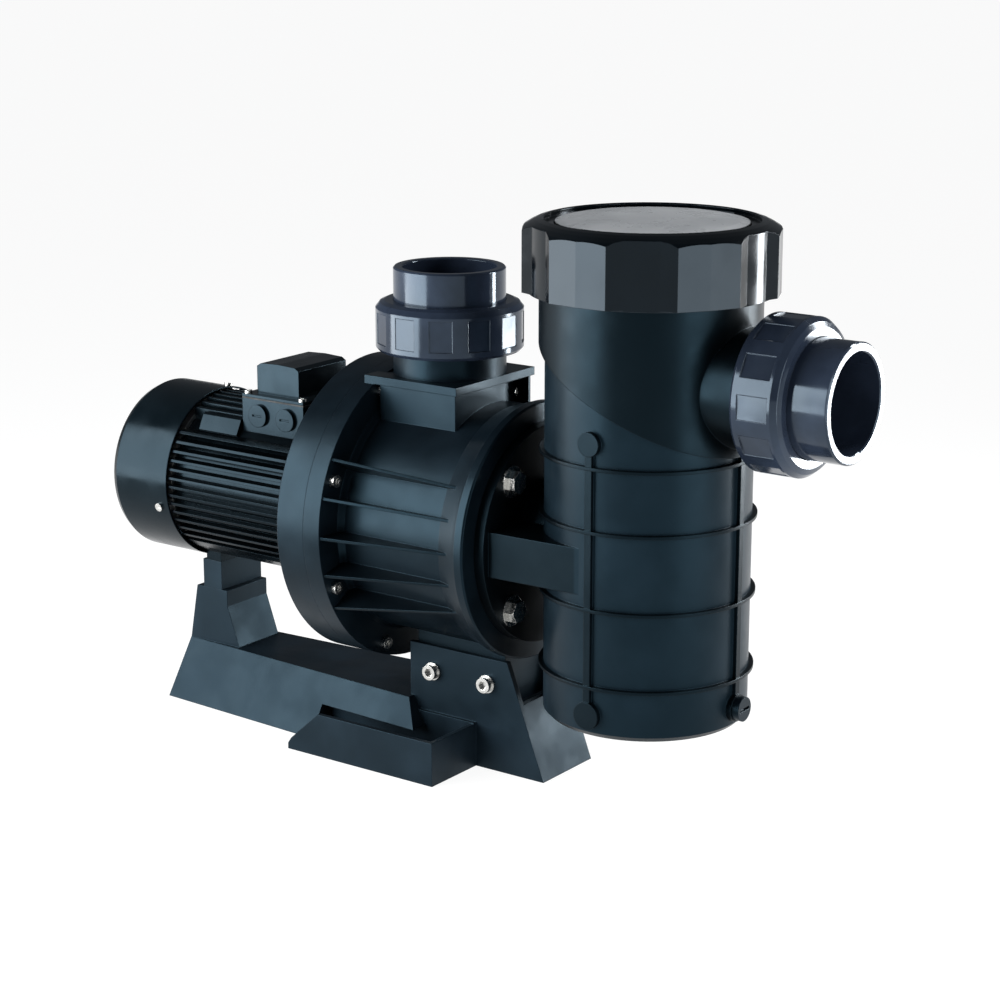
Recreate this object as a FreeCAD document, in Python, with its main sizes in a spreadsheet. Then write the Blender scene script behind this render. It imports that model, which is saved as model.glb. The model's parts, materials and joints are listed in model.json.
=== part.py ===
import FreeCAD, Part
import math
import os
import Sketcher

# Pool pump: an electric motor drives a closed impeller through a moulded volute; water enters a
# strainer pot with a screwed see-through lid and leaves through a union on top of the volute.
# Frame: +X runs along the shaft from the fan to the suction union, +Z is up, and the origin is on
# the floor under the middle of the pump.  Lengths are millimetres and angles are degrees.

SIZES = {
    # --- pump line ---
    "shaft_height": 236.5,
    "suction_height": 402.4,
    "discharge_place": -30.9,
    "pot_place": 196.7,
    "box_place": -218.6,
    # --- base stand ---
    "base_rear": -356.6,
    "skirt_foot_front": -8.3,
    "skirt_deck_front": -46.6,
    "base_front": 109.4,
    "deck_height": 57.5,
    "deck_rear_half": 31.0,
    "deck_slope": 0.058,
    "skirt_spread": 34.0,
    "skirt_wall": 5.0,
    "tower_top": 116.5,
    "tower_rear": -342.6,
    "tower_front": -301.0,
    "tower_half": 31.0,
    "foot_rear": -150.6,
    "foot_front": 29.4,
    "foot_half": 112.0,
    "foot_inner_half": 40.0,
    "foot_top": 43.5,
    "foot_wall": 5.0,
    "foot_floor": 6.0,
    "skirt_edge": 31.0,
    "anchor_rear": -110.6,
    "anchor_front": -10.6,
    "anchor_half": 76.0,
    "anchor_hole": 5.5,
    "saddle_inner_half": 35.0,
    "saddle_wall": 6.0,
    "saddle_rear": -50.6,
    "saddle_top_front": 66.4,
    "saddle_top": 112.5,
    "end_wall_top": 72.0,
    "saddle_bolt_rear": -22.6,
    "saddle_bolt_front": 42.9,
    "saddle_bolt_height": 86.9,
    "saddle_bolt_radius": 6.0,
    "saddle_head_radius": 7.5,
    # --- motor leg ---
    "leg_rear": -333.0,
    "leg_front": -308.0,
    "leg_top": 147.0,
    # --- motor ---
    "cover_rear": -406.7,
    "frame_rear": -327.8,
    "frame_front": -128.0,
    "cover_radius": 88.7,
    "cover_wall": 1.8,
    "frame_radius": 76.0,
    "frame_bore": 69.0,
    "fin_radius": 86.0,
    "fin_pitch": 9.0,
    "fin_wall": 2.6,
    "core_rear": -285.0,
    "core_front": -185.0,
    "rotor_radius": 41.6,
    "stator_bore": 42.2,
    "shaft_core_radius": 15.0,
    "bearing_bore": 12.5,
    "bearing_outer": 26.0,
    "bearing_width": 15.0,
    "rear_bearing": -348.0,
    "front_bearing": -133.0,
    "fan_radius": 66.0,
    "fan_rear": -392.0,
    "fan_front": -366.0,
    "cover_screw_place": -340.1,
    # --- terminal box ---
    "box_half_length": 40.0,
    "box_half_width": 46.0,
    "box_top": 95.0,
    "box_floor": 82.0,
    "box_wall": 3.5,
    "gasket_thickness": 1.5,
    "lid_plate": 3.0,
    "lid_half_length": 27.2,
    "lid_half_width": 37.0,
    "lid_top": 131.7,
    "box_screw_x": 35.5,
    "box_screw_y": 41.5,
    "gland_spacing": 18.0,
    "gland_height": 79.0,
    "gland_radius": 11.5,
    "gland_thread": 8.0,
    # --- bracket and volute ---
    "flange_radius": 148.7,
    "flange_joint": -94.0,
    "flange_front": -74.5,
    "volute_radius": 117.5,
    "volute_bore": 108.0,
    "volute_front": 75.1,
    "volute_front_wall": 52.0,
    "front_flange_radius": 124.7,
    "rib_top": 147.0,
    "rib_wall": 2.8,
    "ring_screw_circle": 137.3,
    "ring_screw_hole": 4.2,
    "platform_top": 142.5,
    "platform_lip": 8.0,
    "platform_rear": -85.7,
    "platform_front": 23.9,
    "platform_half": 63.5,
    "platform_wall_rear": -68.5,
    "recess_side": 20.0,
    "vent_side": 52.0,
    "vent_drop": 24.0,
    "vent_thread": 3.0,
    "pedestal_rear": -45.0,
    "pedestal_front": 60.0,
    "pedestal_bottom": -172.0,
    "passage_radius": 42.0,
    "impeller_radius": 74.0,
    "impeller_rear": -82.0,
    "impeller_eye": 37.1,
    "diffuser_radius": 104.0,
    # --- strainer pot ---
    "pot_radius": 95.8,
    "pot_bore": 90.8,
    "pot_bottom": 82.4,
    "pot_floor": 92.0,
    "pot_rim": 522.0,
    "pot_upper_radius": 101.5,
    "pot_rib_radius": 100.5,
    "pot_rib_wall": 3.0,
    "pot_rib_a": 334.4,
    "pot_rib_b": 275.9,
    "pot_rib_c": 203.4,
    "pot_rib_d": 130.7,
    "pot_seam_height": 490.4,
    "upper_boss_height": 356.5,
    "drain_height": 103.6,
    "pot_mouth": 95.0,
    "pot_ledge": 500.0,
    "pot_flange_rear": 75.4,
    "pot_flange_front": 86.0,
    "pot_flange_radius": 106.0,
    "pot_tube_radius": 52.0,
    "bolt_circle": 88.0,
    "web_half_rear": 98.0,
    "web_half_front": 95.0,
    "web_low": 215.0,
    "web_high": 258.0,
    "basket_bottom": 215.0,
    "basket_low_radius": 78.0,
    "basket_high_radius": 86.0,
    "basket_wall": 2.5,
    "basket_rim": 94.0,
    "handle_height": 508.0,
    "handle_radius": 83.0,
    # --- lid ---
    "ring_bottom": 479.5,
    "ring_shoulder": 534.8,
    "ring_top": 546.2,
    "ring_ledge": 541.5,
    "ring_lip": 536.3,
    "ring_mouth": 97.4,
    "ring_base_radius": 111.5,
    "ring_lug_radius": 118.0,
    "ring_bore": 104.5,
    "lens_radius": 88.4,
    "lens_low": 529.0,
    "lens_flange": 103.0,
    "lens_top": 548.0,
    # --- unions for 90 mm pipe ---
    "neck_radius": 54.5,
    "thread_radius": 62.0,
    "nut_radius": 71.3,
    "nut_length": 47.6,
    "nut_lip": 8.0,
    "neck_reach": 24.4,
    "sleeve_radius": 54.0,
    "socket_radius": 45.1,
    "socket_depth": 51.0,
    "union_bore": 41.0,
    "union_clearance": 0.4,
    "suction_nut_start": 320.8,
    "suction_end": 406.7,
    "discharge_nut_start": 401.6,
    "discharge_end": 481.2,
}

doc = FreeCAD.newDocument("PoolPump")
sheet = doc.addObject("Spreadsheet::Sheet", "Sizes")


class Size:
    """A length with its value and the spreadsheet formula that gives it."""

    def __init__(self, value, formula):
        self.value = value
        self.formula = formula

    def _join(self, other, sign, value):
        return Size(value, "(%s %s %s)" % (self.formula, sign, text_of(other)))

    def __add__(self, other):
        return self._join(other, "+", self.value + value_of(other))

    def __sub__(self, other):
        return self._join(other, "-", self.value - value_of(other))

    def __mul__(self, other):
        return self._join(other, "*", self.value * value_of(other))

    def __truediv__(self, other):
        return self._join(other, "/", self.value / value_of(other))

    def __radd__(self, other):
        return Size(value_of(other), text_of(other)) + self

    def __rsub__(self, other):
        return Size(value_of(other), text_of(other)) - self

    def __rmul__(self, other):
        return self * other

    def __neg__(self):
        return Size(-self.value, "(0 - %s)" % self.formula)


def value_of(number):
    return number.value if isinstance(number, Size) else float(number)


def text_of(number):
    return number.formula if isinstance(number, Size) else "%.6f" % float(number)


class Sheet:
    """The named cells, each as a Size."""


cells = Sheet()
for row, (name, value) in enumerate(SIZES.items(), start=1):
    sheet.set("A%d" % row, name.replace("_", " "))
    sheet.set("B%d" % row, str(value))
    sheet.setAlias("B%d" % row, name)
    setattr(cells, name, Size(value, "Sizes." + name))
doc.recompute()

AXES = {"X": "X_Axis", "Y": "Y_Axis", "Z": "Z_Axis"}
PLANES = {"XY": "XY_Plane", "XZ": "XZ_Plane", "YZ": "YZ_Plane"}
nodes = []


def bind(thing, path, number):
    """Set a property from a Size formula, or from a plain number."""
    thing.setExpression(path, text_of(number))


def origin_feature(body, role):
    for feature in body.Origin.OriginFeatures:
        if feature.Role == role:
            return feature
    raise ValueError(role)


def place(thing, x=0, y=0, z=0, axis=None, angle=0):
    if axis is not None:
        thing.Placement = FreeCAD.Placement(FreeCAD.Vector(0, 0, 0), FreeCAD.Rotation(axis, angle))
    for path, number in (("x", x), ("y", y), ("z", z)):
        if isinstance(number, Size) or number != 0:
            bind(thing, "Placement.Base." + path, number)


def new_body(label, x=0, y=0, z=0, axis=None, angle=0):
    body = doc.addObject("PartDesign::Body", label)
    body.Label = label
    place(body, x, y, z, axis, angle)
    nodes.append(body)
    return body


def new_sketch(body, plane, offset=0, tilt=0):
    """A sketch on an origin plane, moved along its normal by offset and tilted about its own X."""
    sketch = body.newObject("Sketcher::SketchObject", body.Label + "_sketch")
    sketch.AttachmentSupport = [(origin_feature(body, PLANES[plane]), "")]
    sketch.MapMode = "FlatFace"
    turn = FreeCAD.Rotation(FreeCAD.Vector(1, 0, 0), tilt)
    sketch.AttachmentOffset = FreeCAD.Placement(FreeCAD.Vector(0, 0, value_of(offset)), turn)
    if isinstance(offset, Size):
        bind(sketch, "AttachmentOffset.Base.z", offset)
    return sketch


def pin_point(sketch, geometry, vertex, u, v):
    """Hold one point of a sketch at (u, v) from the sketch's origin."""
    for kind, number, axis in (("DistanceX", u, -2), ("DistanceY", v, -1)):
        value = value_of(number)
        if abs(value) < 1e-9:
            sketch.addConstraint(Sketcher.Constraint("PointOnObject", geometry, vertex, axis))
            continue
        ends = (-1, 1, geometry, vertex) if value > 0 else (geometry, vertex, -1, 1)
        index = sketch.addConstraint(Sketcher.Constraint(kind, *ends, abs(value)))
        if isinstance(number, Size):
            bind(sketch, "Constraints[%d]" % index, number if value > 0 else -number)


def polygon(sketch, points):
    """A closed outline of straight lines, every corner held to the sketch's origin."""
    corners = [FreeCAD.Vector(value_of(u), value_of(v), 0) for u, v in points]
    first = sketch.GeometryCount
    count = len(points)
    for index in range(count):
        sketch.addGeometry(Part.LineSegment(corners[index], corners[(index + 1) % count]))
    for index in range(count):
        following = first + (index + 1) % count
        sketch.addConstraint(Sketcher.Constraint("Coincident", first + index, 2, following, 1))
    for index, (u, v) in enumerate(points):
        pin_point(sketch, first + index, 1, u, v)


def rectangle(sketch, left, right, low, high):
    polygon(sketch, [(left, low), (right, low), (right, high), (left, high)])


def circle(sketch, radius, u=0, v=0):
    centre = FreeCAD.Vector(value_of(u), value_of(v), 0)
    shape = Part.Circle(centre, FreeCAD.Vector(0, 0, 1), value_of(radius))
    index = sketch.addGeometry(shape)
    pin_point(sketch, index, 3, u, v)
    constraint = sketch.addConstraint(Sketcher.Constraint("Radius", index, value_of(radius)))
    bind(sketch, "Constraints[%d]" % constraint, radius)


def hexagon(sketch, radius, u=0, v=0):
    corners = []
    for step in range(6):
        angle = math.radians(60 * step)
        corners.append((u + radius * math.cos(angle), v + radius * math.sin(angle)))
    polygon(sketch, corners)


def extrude(kind, sketch, length, middle=False, back=False):
    body = sketch.getParentGeoFeatureGroup()
    feature = body.newObject("PartDesign::" + kind, body.Label + "_" + kind)
    feature.Profile = sketch
    bind(feature, "Length", length)
    feature.SideType = "Symmetric" if middle else "One side"
    feature.Reversed = back
    return feature


def pad(sketch, length, middle=False, back=False):
    return extrude("Pad", sketch, length, middle, back)


def pocket(sketch, length, middle=False, back=False):
    """A cut; the sketch's own normal is the way it cuts unless back is set."""
    return extrude("Pocket", sketch, length, middle, not back)


def turn(kind, sketch, axis):
    body = sketch.getParentGeoFeatureGroup()
    feature = body.newObject("PartDesign::" + kind, body.Label + "_" + kind)
    feature.Profile = sketch
    feature.ReferenceAxis = (origin_feature(body, AXES[axis]), [""])
    feature.Angle = 360
    return feature


def revolve(body, axis, points):
    """Turn an outline in the XZ plane about the body's X or Z axis."""
    sketch = new_sketch(body, "XZ")
    polygon(sketch, points)
    return turn("Revolution", sketch, axis)


def groove(body, axis, points):
    sketch = new_sketch(body, "XZ")
    polygon(sketch, points)
    return turn("Groove", sketch, axis)


def loft(kind, body, low, high, low_height, high_height):
    """A loft between two level outlines."""
    sketches = []
    for points, height in ((low, low_height), (high, high_height)):
        sketch = new_sketch(body, "XY", height)
        polygon(sketch, points)
        sketches.append(sketch)
    feature = body.newObject("PartDesign::" + kind, body.Label + "_" + kind)
    feature.Profile = sketches[0]
    feature.Sections = [sketches[1]]
    feature.Ruled = True
    return feature


def around(features, axis, count, angle=360):
    """Repeat features about an origin axis of their body."""
    body = features[0].getParentGeoFeatureGroup()
    pattern = body.newObject("PartDesign::PolarPattern", body.Label + "_around")
    pattern.Originals = features
    pattern.Axis = (origin_feature(body, AXES[axis]), [""])
    pattern.Angle = angle
    pattern.Occurrences = count
    body.Tip = pattern
    return pattern


def along(features, axis, length, count):
    body = features[0].getParentGeoFeatureGroup()
    pattern = body.newObject("PartDesign::LinearPattern", body.Label + "_along")
    pattern.Originals = features
    pattern.Direction = (origin_feature(body, AXES[axis]), [""])
    bind(pattern, "Length", length)
    pattern.Occurrences = count
    body.Tip = pattern
    return pattern


def mirrored(features, plane):
    body = features[0].getParentGeoFeatureGroup()
    pattern = body.newObject("PartDesign::Mirrored", body.Label + "_mirrored")
    pattern.Originals = features
    pattern.MirrorPlane = (origin_feature(body, PLANES[plane]), [""])
    body.Tip = pattern
    return pattern


def turned_piece(label, axis, points, x=0, z=0):
    body = new_body(label, x=x, z=z)
    revolve(body, axis, points)
    return body


def o_ring(label, axis, ring_radius, cord_radius, x, z):
    """A round sealing ring about the X or Z direction."""
    ring = doc.addObject("Part::Torus", label)
    ring.Label = label
    bind(ring, "Radius1", ring_radius)
    bind(ring, "Radius2", cord_radius)
    tilt = FreeCAD.Vector(0, 1, 0) if axis == "X" else None
    place(ring, x, 0, z, tilt, 90)
    nodes.append(ring)
    return ring


def arc_points(radius, start, end, steps):
    """Points on a circle about the origin, both ends included."""
    points = []
    for step in range(steps + 1):
        angle = math.radians(start + (end - start) * step / steps)
        points.append((radius * math.cos(angle), radius * math.sin(angle)))
    return points


# ---------------------------------------------------------------- base stand

def skirt_half(x, height, inset=0):
    """Half the width of the stand's skirt at a place along it and a height above the floor."""
    c = cells
    deck = c.deck_rear_half + c.deck_slope * (x - c.base_rear)
    return deck + c.skirt_spread * ((c.deck_height - height) / c.deck_height) - inset


def make_base_stand():
    c = cells
    body = new_body("base_stand")

    def outline(rear, front, height, inset):
        low, high = skirt_half(rear, height, inset), skirt_half(front, height, inset)
        return [(rear, -low), (front, -high), (front, high), (rear, low)]

    deck_rear = c.base_rear + 3
    loft("AdditiveLoft", body, outline(c.base_rear, c.skirt_foot_front, 0, 0),
         outline(deck_rear, c.skirt_deck_front, c.deck_height, 0), 0, c.deck_height)
    tower = new_sketch(body, "XZ")
    polygon(tower, [(c.base_rear + 1, 20), (c.tower_front + 18, 20), (c.tower_front + 15, c.deck_height),
                    (c.tower_front, c.tower_top - 17), (c.tower_front, c.tower_top),
                    (c.tower_rear, c.tower_top), (c.tower_rear - 11, c.deck_height)])
    pad(tower, c.tower_half * 2, middle=True)

    wall = c.skirt_wall
    loft("SubtractiveLoft", body,
         outline(c.base_rear + wall, c.skirt_foot_front - wall, 0, wall),
         outline(deck_rear + wall, c.skirt_deck_front - wall, c.deck_height - wall, wall),
         0, c.deck_height - wall)
    tower_room = new_sketch(body, "XY")
    rectangle(tower_room, c.tower_rear + wall, c.tower_front - wall,
              wall - c.tower_half, c.tower_half - wall)
    pocket(tower_room, c.tower_top - wall)

    under_skirt = new_sketch(body, "XY")
    for low, high in ((-c.foot_half - 10, -c.foot_inner_half), (c.foot_inner_half, c.foot_half + 10)):
        rectangle(under_skirt, c.foot_rear, c.skirt_foot_front + 1, low, high)
    pocket(under_skirt, c.skirt_edge)

    thin = c.foot_wall
    front_wall = new_sketch(body, "XZ", c.foot_half - thin)
    polygon(front_wall, [(c.foot_rear, 0), (c.foot_front, 0), (c.foot_front, c.foot_top),
                         (c.foot_rear + 39, c.foot_top), (c.foot_rear + 4, c.foot_floor * 2),
                         (c.foot_rear, c.foot_floor)])
    inner_wall = new_sketch(body, "XZ", c.foot_inner_half)
    rectangle(inner_wall, c.foot_rear, c.foot_front, 0, c.skirt_edge + 14)
    floor = new_sketch(body, "XY")
    rectangle(floor, c.foot_rear, c.foot_front, -c.foot_half, -c.foot_inner_half)
    circle(floor, c.anchor_hole, c.anchor_rear, -c.anchor_half)
    circle(floor, c.anchor_hole, c.anchor_front, -c.anchor_half)
    side_wall = new_sketch(body, "YZ", c.foot_front - thin)
    rectangle(side_wall, -c.foot_half, -c.foot_inner_half, 0, c.foot_top)
    foot = [pad(floor, c.foot_floor), pad(front_wall, thin), pad(inner_wall, thin),
            pad(side_wall, thin)]

    saddle = new_sketch(body, "XZ", c.saddle_inner_half)
    polygon(saddle, [(c.saddle_rear, 0), (c.base_front, 0), (c.saddle_top_front, c.saddle_top),
                     (c.saddle_rear, c.saddle_top)])
    for place_x in (c.saddle_bolt_rear, c.saddle_bolt_front):
        circle(saddle, c.saddle_bolt_radius + 0.3, place_x, c.saddle_bolt_height)
    foot.append(pad(saddle, c.saddle_wall))
    mirrored(foot, "XZ")

    slope = (c.base_front - c.saddle_top_front) / c.saddle_top
    end_wall = new_sketch(body, "XZ")
    lean = slope * c.end_wall_top
    polygon(end_wall, [(c.base_front - wall, 0), (c.base_front, 0), (c.base_front - lean, c.end_wall_top),
                       (c.base_front - lean - wall, c.end_wall_top)])
    pad(end_wall, c.saddle_inner_half * 2, middle=True)
    return body


def make_motor_leg():
    """The block that carries the rear of the motor on the stand's tower."""
    c = cells
    body = new_body("motor_leg")
    block = new_sketch(body, "XY", c.tower_top)
    rectangle(block, c.leg_rear, c.leg_front, -c.tower_half, c.tower_half)
    pad(block, c.leg_top - c.tower_top)
    recess = new_sketch(body, "YZ", c.leg_rear)
    for side in (-1, 1):
        rectangle(recess, side * c.tower_half * 0.5 - 11, side * c.tower_half * 0.5 + 11,
                  c.tower_top + 5, c.leg_top - 5)
    pocket(recess, 6)
    return body


# ---------------------------------------------------------------- motor

def make_shaft():
    c = cells
    return turned_piece("motor_shaft", "X", [
        (c.fan_rear, 0), (c.fan_rear, 8), (c.rear_bearing - 4, 8), (c.rear_bearing - 4, c.bearing_bore),
        (c.rear_bearing + c.bearing_width + 3, c.bearing_bore),
        (c.rear_bearing + c.bearing_width + 3, c.shaft_core_radius),
        (c.front_bearing - 3, c.shaft_core_radius), (c.front_bearing - 3, c.bearing_bore),
        (c.front_bearing + c.bearing_width + 4, c.bearing_bore),
        (c.front_bearing + c.bearing_width + 4, 12), (c.impeller_rear + 22, 12),
        (c.impeller_rear + 22, 5), (c.impeller_rear + 34, 5), (c.impeller_rear + 34, 0)],
        z=c.shaft_height)


def make_rotor_core():
    """The laminated rotor with its two cast end rings."""
    c = cells
    bore = c.shaft_core_radius
    return turned_piece("rotor_core", "X", [
        (c.core_rear, bore), (c.core_rear, 26), (c.core_rear - 10, 26), (c.core_rear - 10, 40),
        (c.core_rear, 40), (c.core_rear, c.rotor_radius), (c.core_front, c.rotor_radius),
        (c.core_front, 40), (c.core_front + 10, 40), (c.core_front + 10, 26), (c.core_front, 26),
        (c.core_front, bore)], z=c.shaft_height)


def make_stator_core():
    c = cells
    body = turned_piece("stator_core", "X", [
        (c.core_rear, c.stator_bore), (c.core_rear, c.frame_bore), (c.core_front, c.frame_bore),
        (c.core_front, c.stator_bore)], z=c.shaft_height)
    slot = new_sketch(body, "YZ", c.core_rear)
    rectangle(slot, -1.6, 1.6, c.stator_bore - 2, c.stator_bore + 15)
    around([pocket(slot, c.core_front - c.core_rear)], "X", 24)
    return body


def make_windings():
    """The two rings of end turns."""
    c = cells
    body = new_body("winding_ends", z=c.shaft_height)
    sketch = new_sketch(body, "XZ")
    for start, sign in ((c.core_rear - 0.2, -1), (c.core_front + 0.2, 1)):
        polygon(sketch, [(start, 46), (start + sign * 20, 46), (start + sign * 26, 52),
                         (start + sign * 26, 59), (start + sign * 19, 66), (start, 66)])
    turn("Revolution", sketch, "X")
    return body


def make_bearings():
    """Two deep-groove bearings: fixed outer races, turning inner races and the balls between."""
    c = cells
    outer = new_body("bearing_outer_races", z=c.shaft_height)
    inner = new_body("bearing_inner_races", z=c.shaft_height)
    balls = new_body("bearing_balls", z=c.shaft_height)
    outer_sketch = new_sketch(outer, "XZ")
    inner_sketch = new_sketch(inner, "XZ")
    ball_sketch = new_sketch(balls, "XZ")
    ball_circle = (c.bearing_bore + c.bearing_outer) / 2
    for start in (c.rear_bearing, c.front_bearing):
        end = start + c.bearing_width
        rectangle(outer_sketch, start, end, ball_circle + 2.8, c.bearing_outer)
        rectangle(inner_sketch, start, end, c.bearing_bore, ball_circle - 2.75)
        middle = start + c.bearing_width / 2
        points = [(middle + u, ball_circle + v) for u, v in arc_points(2.7, 0, 180, 6)]
        polygon(ball_sketch, points)
    turn("Revolution", outer_sketch, "X")
    turn("Revolution", inner_sketch, "X")
    axis_line = ball_sketch.addGeometry(
        Part.LineSegment(FreeCAD.Vector(-400, value_of(ball_circle), 0),
                         FreeCAD.Vector(-100, value_of(ball_circle), 0)), True)
    pin_point(ball_sketch, axis_line, 1, -400, ball_circle)
    pin_point(ball_sketch, axis_line, 2, -100, ball_circle)
    ball = balls.newObject("PartDesign::Revolution", "bearing_balls_Revolution")
    ball.Profile = ball_sketch
    ball.ReferenceAxis = (ball_sketch, ["Axis0"])
    ball.Angle = 360
    around([ball], "X", 9)
    return outer, inner, balls


def make_motor_frame():
    """The cast frame: a tube with level fins at the sides, upright fins on top and a smooth belly."""
    c = cells
    body = new_body("motor_frame", z=c.shaft_height)
    length = c.frame_front - c.frame_rear
    tube = new_sketch(body, "YZ", c.frame_rear)
    circle(tube, c.frame_radius)
    pad(tube, length)

    side_count = 13
    reach = c.fin_pitch * (side_count - 1)
    level = new_sketch(body, "YZ", c.frame_rear)
    middle = -reach / 2
    rectangle(level, -c.fin_radius - 4, c.fin_radius + 4, middle - c.fin_wall / 2, middle + c.fin_wall / 2)
    along([pad(level, length)], "Z", reach, side_count)

    top_count = 10
    top_reach = c.fin_pitch * (top_count - 1)
    box_room = c.box_half_length + 4
    for start, end in ((c.frame_rear, c.box_place - box_room), (c.box_place + box_room, c.frame_front)):
        upright = new_sketch(body, "YZ", start)
        left = -top_reach / 2
        rectangle(upright, left - c.fin_wall / 2, left + c.fin_wall / 2, 30, c.fin_radius + 4)
        along([pad(upright, end - start)], "Y", top_reach, top_count)

    belly = new_sketch(body, "YZ", c.frame_rear)
    polygon(belly, [(-60, -61), (-50, -69), (-30, -80), (0, -85.5), (30, -80), (50, -69), (60, -61), (0, -40)])
    pad(belly, length)
    for side in (-1, 1):
        patch = new_sketch(body, "YZ", c.frame_rear + 17)
        polygon(patch, [(side * 46, 75), (side * 55, 57), (side * 46, 50), (side * 30, 60)])
        pad(patch, 51)
    groove(body, "X", [(c.frame_rear - 1, c.fin_radius), (c.frame_rear - 1, c.fin_radius + 30),
                       (c.frame_front + 1, c.fin_radius + 30), (c.frame_front + 1, c.fin_radius)])

    foot = new_sketch(body, "YZ", c.frame_rear)
    rectangle(foot, -c.tower_half, c.tower_half, c.leg_top - c.shaft_height, -78)
    pad(foot, c.leg_front - c.frame_rear)
    bore = new_sketch(body, "YZ", c.frame_rear)
    circle(bore, c.frame_bore)
    pocket(bore, length)
    return body


def make_end_shields():
    c = cells
    rear = new_body("rear_shield", z=c.shaft_height)
    start = c.frame_rear
    revolve(rear, "X", [
        (start + 6, c.frame_bore - 0.1), (start, c.frame_bore - 0.1), (start, 80), (start - 9, 80),
        (start - 9, 33), (c.rear_bearing - 4, 33), (c.rear_bearing - 4, 13.5), (c.rear_bearing, 13.5),
        (c.rear_bearing, c.bearing_outer), (start - 3, c.bearing_outer), (start - 3, 62), (start + 6, 62)])
    boss = new_sketch(rear, "XZ")
    rectangle(boss, c.cover_screw_place - 5, start - 1, 76, c.cover_radius - c.cover_wall - 0.2)
    boss_pad = pad(boss, 12, middle=True)
    hole = new_sketch(rear, "XY", 78)
    circle(hole, 2.1, c.cover_screw_place, 0)
    around([boss_pad, pocket(hole, 12)], "X", 3)
    rear.Placement.Rotation = FreeCAD.Rotation(FreeCAD.Vector(1, 0, 0), 105)

    face = c.frame_front
    front = turned_piece("front_shield", "X", [
        (face - 6, c.frame_bore - 0.1), (face, c.frame_bore - 0.1), (face, 84), (face + 18, 84),
        (face + 18, 14), (face + 10, 14), (face + 10, c.bearing_outer), (face - 6, c.bearing_outer),
        (face - 6, 32), (face + 6, 32), (face + 6, 62), (face - 6, 62)], z=c.shaft_height)
    return rear, front


def make_fan():
    c = cells
    body = turned_piece("cooling_fan", "X", [
        (c.fan_rear, 8), (c.fan_rear, 16), (c.fan_front - 4, 16), (c.fan_front - 4, 50),
        (c.fan_front, 50), (c.fan_front, 8)], z=c.shaft_height)
    blade = new_sketch(body, "XZ")
    rectangle(blade, c.fan_rear + 1, c.fan_front, 12, c.fan_radius)
    around([pad(blade, 3, middle=True)], "X", 9)
    return body


def make_fan_cover():
    c = cells
    wall = c.cover_wall
    body = turned_piece("fan_cover", "X", [
        (c.cover_rear, 0), (c.cover_rear, c.cover_radius - 9), (c.cover_rear + 3, c.cover_radius - 3),
        (c.cover_rear + 9, c.cover_radius), (c.frame_rear, c.cover_radius),
        (c.frame_rear, c.cover_radius - wall), (c.cover_rear + 9.5, c.cover_radius - wall),
        (c.cover_rear + 4.5, c.cover_radius - wall - 2.5), (c.cover_rear + wall, c.cover_radius - 10),
        (c.cover_rear + wall, 0)], z=c.shaft_height)
    for radius, count in ((24, 12), (42, 20), (60, 28)):
        slot = new_sketch(body, "YZ", c.cover_rear - 1)
        rectangle(slot, -2.4, 2.4, radius - 7, radius + 7)
        around([pocket(slot, wall + 2)], "X", count)
    screw_hole = new_sketch(body, "XY", c.cover_radius - 5)
    circle(screw_hole, 2.3, c.cover_screw_place, 0)
    around([pocket(screw_hole, 10)], "X", 3)
    body.Placement.Rotation = FreeCAD.Rotation(FreeCAD.Vector(1, 0, 0), 105)
    return body


def make_cover_screws():
    """Three round-headed screws that point at the shaft."""
    c = cells
    body = new_body("fan_cover_screws", z=c.shaft_height)
    shank = new_sketch(body, "XY", c.cover_radius - 8)
    circle(shank, 2, c.cover_screw_place, 0)
    head = new_sketch(body, "XY", c.cover_radius)
    circle(head, 4.4, c.cover_screw_place, 0)
    slot = new_sketch(body, "XY", c.cover_radius + 1.2)
    rectangle(slot, c.cover_screw_place - 3, c.cover_screw_place + 3, -0.5, 0.5)
    around([pad(shank, 8), pad(head, 2.4), pocket(slot, 3)], "X", 3)
    body.Placement.Rotation = FreeCAD.Rotation(FreeCAD.Vector(1, 0, 0), 105)
    return body


# ---------------------------------------------------------------- terminal box

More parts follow.
